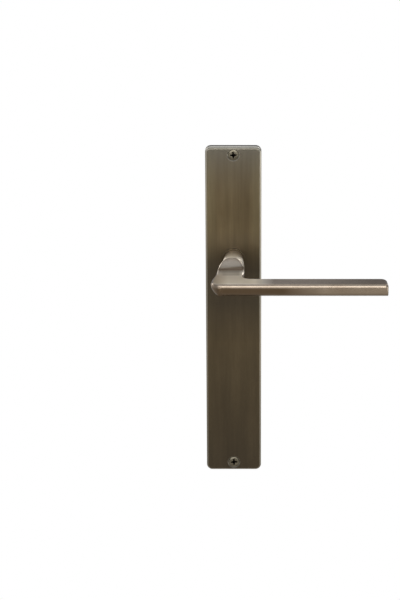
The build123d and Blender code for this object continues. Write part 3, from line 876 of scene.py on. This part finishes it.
class AddFixingScrews(bpy.types.Operator):
    """Models the countersunk cross-recess wood screws"""

    bl_idname = "door_lever.add_fixing_screws"
    bl_label = "Add fixing screws"

    def execute(self, context):
        shape = context.scene.screw_shape
        low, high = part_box("fixing_screws")
        head = (high.x - low.x) / 2
        end = high.y - low.y
        body = self.shank(shape, head, end, -low.y)
        self.cut_recess(body, shape)
        thread_start = -low.y + RIDGE_LEAD * shape.pitch
        turns = int((end - POINT_BARE * shape.point - thread_start) / shape.pitch)
        width = RIDGE_WIDTH * shape.pitch
        ridge = thread_ridge(
            shape.core, shape.shank, width, shape.pitch, thread_start, turns, SCREW_THREAD_STEPS
        )
        self.taper(ridge, shape, end)
        screw = join([body, ridge])
        smooth(screw, THREAD_SMOOTHING)
        place(screw, shape.cross_turn, math.pi / 2, (0, low.y, high.z - head))
        second = copy_of(screw, "fixing_screw_bottom")
        place(second, 0.0, 0.0, (0, 0, low.z + 2 * head - high.z))
        material = screw_brass(shape)
        for piece, name in ((screw, "fixing_screw_top"), (second, "fixing_screw_bottom")):
            finish_piece(piece, name, "plate", material, "fixing_screws")
        return {"FINISHED"}

    def shank(self, shape, head, end, plain):
        """Countersunk head, plain shank, core and point."""
        soft = shape.head_rounding
        cone = head - shape.shank
        rim = [(depth * soft, head - inset * soft) for depth, inset in RIM_ROUNDING]
        tip = [(end - distance, radius) for distance, radius in POINT_TIP]
        middle = [
            (soft + cone, shape.shank),
            (plain, shape.shank),
            (plain + CORE_LEAD * shape.pitch, shape.core),
            (end - shape.point, shape.core),
        ]
        return turned_bar(rim + middle + tip, SCREW_SIDES)

    def cut_recess(self, body, shape):
        """Cuts a tapered cross and a round pit into the head; each cutter widens on above the mouth."""
        deep = shape.recess_depth
        floor = (RECESS_FLOOR_SPAN, RECESS_FLOOR_WING, 1)
        crown = (2 - RECESS_FLOOR_SPAN, 2 - RECESS_FLOOR_WING, 1)
        wings = []
        for turn in (0.0, math.pi / 2):
            bpy.ops.object.select_all(action="DESELECT")
            bpy.ops.mesh.primitive_cube_add(size=1.0, location=(0, 0, 0))
            wing = bpy.context.object
            wing.scale = (shape.recess_span, shape.recess_wing, 2 * deep)
            bpy.ops.object.transform_apply(location=True, rotation=True, scale=True)
            start_edit(wing)
            pick_faces(wing, lambda centre, normal: normal.z < -0.5)
            bpy.ops.transform.resize(value=floor, center_override=(0, 0, -deep))
            pick_faces(wing, lambda centre, normal: normal.z > 0.5)
            bpy.ops.transform.resize(value=crown, center_override=(0, 0, deep))
            end_edit()
            place(wing, turn, 0.0, (0, 0, 0))
            wings.append(wing)
        pit_rings = [
            (depth, radius * shape.recess_wing) for depth, radius in zip((-deep, 0.0, deep), PIT_RADII)
        ]
        pit = turned_bar(pit_rings, PIT_SIDES)
        for cutter in (*wings, pit):
            apply_modifier(body, "BOOLEAN", operation="DIFFERENCE", solver="EXACT", object=cutter)
            bpy.data.objects.remove(cutter)

    def taper(self, ridge, shape, end):
        """Draws the thread in along the point."""
        begin = end - shape.point
        for vertex in ridge.data.vertices:
            past = max(0.0, -vertex.co.z - begin) / shape.point
            draw = 1.0 - POINT_DRAW * min(1.0, past)
            vertex.co.x *= draw
            vertex.co.y *= draw


class AddGrubScrew(bpy.types.Operator):
    """Models the socket grub screw that clamps the spindle"""

    bl_idname = "door_lever.add_grub_screw"
    bl_label = "Add grub screw"

    def execute(self, context):
        shape = context.scene.screw_shape
        low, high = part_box("grub_screw")
        crest = (high.x - low.x) / 2
        tall = high.z - low.z
        core = crest - GRUB_THREAD_DEPTH * shape.grub_pitch
        soft = shape.grub_chamfer
        rings = [(0.0, core - soft), (soft, core), (tall - soft, core), (tall, core - soft)]
        body = turned_bar(rings, GRUB_SIDES)
        bpy.ops.object.select_all(action="DESELECT")
        bpy.ops.mesh.primitive_cylinder_add(
            vertices=6, radius=shape.grub_socket / math.sqrt(3), depth=2 * shape.grub_socket_depth,
            location=(0, 0, -tall),
        )
        socket = bpy.context.object
        bpy.ops.object.transform_apply(location=True, rotation=True, scale=True)
        apply_modifier(body, "BOOLEAN", operation="DIFFERENCE", solver="EXACT", object=socket)
        bpy.data.objects.remove(socket)
        turns = int((tall - shape.grub_pitch) / shape.grub_pitch)
        start = (tall - turns * shape.grub_pitch) / 2
        width = GRUB_RIDGE_WIDTH * shape.grub_pitch
        ridge = thread_ridge(core, crest, width, shape.grub_pitch, start, turns, GRUB_THREAD_STEPS)
        screw = join([body, ridge])
        smooth(screw, THREAD_SMOOTHING)
        place(screw, 0.0, 0.0, ((low.x + high.x) / 2, (low.y + high.y) / 2, high.z))
        steel = bpy.data.materials["oiled_spring_steel"]
        finish_piece(screw, "grub_screw_threaded", "lever", steel, "grub_screw")
        return {"FINISHED"}


class AddReturnSpring(bpy.types.Operator):
    """Models the torsion spring that returns the lever"""

    bl_idname = "door_lever.add_return_spring"
    bl_label = "Add return spring"

    def execute(self, context):
        shape = context.scene.spring_shape
        low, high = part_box("return_spring")
        start_y = low.y + shape.wire / 2
        end_y = high.y - shape.wire / 2
        lean = math.asin(shape.bend / shape.reach)
        swept = 2 * math.pi * shape.turns - 2 * lean
        spring = self.coil(shape, swept, end_y - start_y)
        self.leg(spring, shape, 0.0, 0.0, math.pi / 2)
        self.leg(spring, shape, swept, start_y - end_y, -math.pi / 2)
        tidy_mesh(spring)
        smooth(spring, WIRE_SMOOTHING)
        place(spring, shape.leg_angle + lean, math.pi / 2, (0, start_y, 0))
        spring.name = "return_spring_coil"
        spring.data.name = spring.name
        dress(spring, bpy.data.materials["oiled_spring_steel"])
        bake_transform(spring)
        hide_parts("return_spring")
        return {"FINISHED"}

    def coil(self, shape, swept, tall):
        """Left-hand coil about Z, from the lever's end down to the cup's floor."""
        bpy.ops.object.select_all(action="DESELECT")
        bpy.ops.mesh.primitive_circle_add(
            vertices=WIRE_SIDES, radius=shape.wire / 2, fill_type="NOTHING", rotation=(math.pi / 2, 0, 0),
            location=(shape.coil, 0, 0),
        )
        spring = bpy.context.object
        bpy.ops.object.transform_apply(location=True, rotation=True, scale=True)
        apply_modifier(
            spring, "SCREW", axis="Z", angle=swept / shape.turns, screw_offset=-tall / shape.turns,
            iterations=shape.turns, steps=COIL_STEPS, render_steps=COIL_STEPS, use_merge_vertices=False,
            use_smooth_shade=True,
        )
        return spring

    def leg(self, spring, shape, angle, level, sweep):
        """Bends one end of the wire outwards and draws it straight, then closes it."""
        out = Vector((math.cos(angle), math.sin(angle), 0.0))
        end = out * shape.coil + Vector((0, 0, level))
        start_edit(spring)
        mesh = bmesh.from_edit_mesh(spring.data)
        bpy.ops.mesh.select_mode(type="EDGE")
        for edge in mesh.edges:
            near = all((vertex.co - end).length < shape.wire for vertex in edge.verts)
            edge.select_set(edge.is_boundary and near)
        bmesh.update_edit_mesh(spring.data)
        bpy.ops.mesh.spin(
            steps=LEG_BEND_STEPS, angle=sweep, use_auto_merge=False,
            center=out * (shape.coil + shape.bend), axis=(0, 0, 1),
        )
        straight = out * (shape.reach - shape.coil - shape.bend)
        bpy.ops.mesh.extrude_region_move(TRANSFORM_OT_translate={"value": straight})
        bpy.ops.mesh.edge_face_add()
        end_edit()


class BuildStudio(bpy.types.Operator):
    """Sets up the floor, soft lights, room and camera"""

    bl_idname = "door_lever.build_studio"
    bl_label = "Build studio"

    def execute(self, context):
        studio = context.scene.studio
        self.add_floor(studio)
        self.add_room(context, studio)
        self.add_lights()
        self.add_camera(context, studio)
        context.scene.view_settings.view_transform = "Standard"
        return {"FINISHED"}

    def add_floor(self, studio):
        """A pale floor that looks white behind the part, to the eye and in reflections."""
        bpy.ops.object.select_all(action="DESELECT")
        bpy.ops.mesh.primitive_plane_add(size=FLOOR_SIZE, location=(0, 0, CAD_BOX[0].z - studio.floor_drop))
        floor = bpy.context.object
        floor.name = "floor"
        bpy.ops.object.transform_apply(location=True, rotation=True, scale=True)
        material, tree, shader = blank_material("pale_floor")
        shader.inputs["Base Color"].default_value = rgba(studio.floor)
        shader.inputs["Roughness"].default_value = FLOOR_ROUGHNESS
        path = add_node(tree, "ShaderNodeLightPath", {})
        seen = math_node(tree, "MAXIMUM", path.outputs["Is Camera Ray"], path.outputs["Is Glossy Ray"])
        seen = math_node(tree, "MAXIMUM", seen, path.outputs["Is Transmission Ray"])
        x, y = object_axes(tree)[:2]
        behind = spread(tree, y, *WHITE_BEHIND_Y, 0.0, 1.0)
        within = spread(tree, math_node(tree, "ABSOLUTE", x), *WHITE_WITHIN_X, 1.0, 0.0)
        glow = add_node(tree, "ShaderNodeEmission", {"Color": (1, 1, 1, 1), "Strength": 1.0})
        mixed = add_node(tree, "ShaderNodeMixShader", {
            0: product(tree, seen, behind, within), 1: shader.outputs["BSDF"], 2: glow.outputs["Emission"],
        })
        tree.links.new(mixed.outputs["Shader"], tree.nodes["Material Output"].inputs["Surface"])
        dress(floor, material)

    def add_room(self, context, studio):
        world = bpy.data.worlds.new("room")
        world.use_nodes = True
        world.node_tree.nodes["Background"].inputs["Color"].default_value = rgba(studio.room)
        world.node_tree.nodes["Background"].inputs["Strength"].default_value = 1.0
        context.scene.world = world

    def add_lights(self):
        """Softboxes: name, azimuth, elevation (degrees), distance, width, height, brightness, colour."""
        cool = (0.97, 0.99, 1.0)
        warm = (1.0, 0.98, 0.95)
        boxes = (
            ("front_softbox", 0.0, 13.0, 2.6, 2.1, 1.35, 3.4, (1.0, 0.99, 0.97)),
            ("front_panel", 0.0, -2.0, 2.4, 2.0, 0.85, 0.7, (1.0, 0.98, 0.94)),
            ("front_top_softbox", 0.0, 61.0, 2.2, 2.6, 0.45, 0.3, (0.80, 0.92, 1.0)),
            ("front_high_softbox", 0.0, 41.0, 2.4, 2.2, 1.1, 1.2, cool),
            ("overhead_softbox", 0.0, 86.0, 2.0, 2.0, 0.75, 0.6, cool),
            ("back_top_softbox", 180.0, 52.0, 2.0, 2.6, 1.5, 0.6, cool),
            ("left_back_softbox", -125.0, 22.0, 1.8, 1.1, 0.8, 3.2, warm),
            ("left_wall", -75.0, -5.0, 1.8, 1.6, 1.1, 0.5, (1.0, 0.94, 0.86)),
            ("right_back_softbox", 138.0, 27.0, 1.8, 0.6, 0.7, 3.5, warm),
            ("right_wall", 85.0, -11.0, 1.8, 2.0, 0.75, 1.5, (1.0, 0.98, 0.92)),
        )
        for name, azimuth, elevation, distance, width, height, brightness, colour in boxes:
            self.add_softbox(name, azimuth, elevation, distance, (width, height), brightness, colour)

    def add_softbox(self, name, azimuth, elevation, distance, size, brightness, colour):
        """A gridded lamp that faces the part and looks as bright as stated, where 1 is white."""
        half = GRID_SPREAD / 2
        gain = math.tan(half) / (math.tan(half) - half)
        lamp = bpy.data.lights.new(name, "AREA")
        lamp.shape = "RECTANGLE"
        lamp.size, lamp.size_y = size
        lamp.spread = GRID_SPREAD
        lamp.energy = brightness * math.pi * size[0] * size[1] / gain
        lamp.color = colour
        holder = bpy.data.objects.new(name, lamp)
        turn, rise = math.radians(azimuth), math.radians(elevation)
        back = Vector((math.sin(turn) * math.cos(rise), -math.cos(turn) * math.cos(rise), math.sin(rise)))
        holder.location = back * distance
        holder.rotation_mode = "QUATERNION"
        holder.rotation_quaternion = (-back).to_track_quat("-Z", "Y")
        holder.visible_camera = False
        bpy.context.scene.collection.objects.link(holder)

    def add_camera(self, context, studio):
        lens = bpy.data.cameras.new("camera")
        lens.sensor_width = SENSOR_MM
        lens.lens = studio.focal / PIXELS_HIGH * SENSOR_MM
        lens.shift_x = (PIXELS_WIDE / 2 - studio.axis_column) / PIXELS_HIGH
        camera = bpy.data.objects.new("camera", lens)
        back = Vector((0.0, -math.cos(studio.elevation), math.sin(studio.elevation)))
        camera.location = Vector(studio.target) + back * studio.distance
        camera.rotation_euler = (math.pi / 2 - studio.elevation, 0.0, 0.0)
        context.scene.collection.objects.link(camera)
        context.scene.camera = camera


OPERATORS = (
    FinishPlate, FinishLever, FinishMechanism, AddFixingScrews, AddGrubScrew, AddReturnSpring, BuildStudio,
)
SETTINGS = {
    "plate_finish": PlateFinish,
    "lever_finish": LeverFinish,
    "mechanism_finish": MechanismFinish,
    "screw_shape": ScrewShape,
    "spring_shape": SpringShape,
    "studio": StudioSettings,
}


class DoorLeverPanel(bpy.types.Panel):
    """Lists the steps and their settings"""

    bl_idname = "VIEW3D_PT_door_lever"
    bl_label = "Door lever"
    bl_space_type = "VIEW_3D"
    bl_region_type = "UI"
    bl_category = "Door lever"

    def draw(self, context):
        for step in OPERATORS:
            self.layout.operator(step.bl_idname)
        for name, group in SETTINGS.items():
            box = self.layout.box()
            box.label(text=group.__doc__)
            for field in group.__annotations__:
                box.prop(getattr(context.scene, name), field)


def register():
    for group in SETTINGS.values():
        bpy.utils.register_class(group)
    for step in (*OPERATORS, DoorLeverPanel):
        bpy.utils.register_class(step)
    for name, group in SETTINGS.items():
        setattr(bpy.types.Scene, name, bpy.props.PointerProperty(type=group))


def unregister():
    for name in SETTINGS:
        delattr(bpy.types.Scene, name)
    for item in (DoorLeverPanel, *reversed(OPERATORS), *SETTINGS.values()):
        bpy.utils.unregister_class(item)


def main():
    register()
    bpy.ops.door_lever.finish_plate()
    bpy.ops.door_lever.finish_lever()
    bpy.ops.door_lever.finish_mechanism()
    bpy.ops.door_lever.add_fixing_screws()
    bpy.ops.door_lever.add_grub_screw()
    bpy.ops.door_lever.add_return_spring()
    bpy.ops.door_lever.build_studio()


if __name__ == "__main__":
    main()
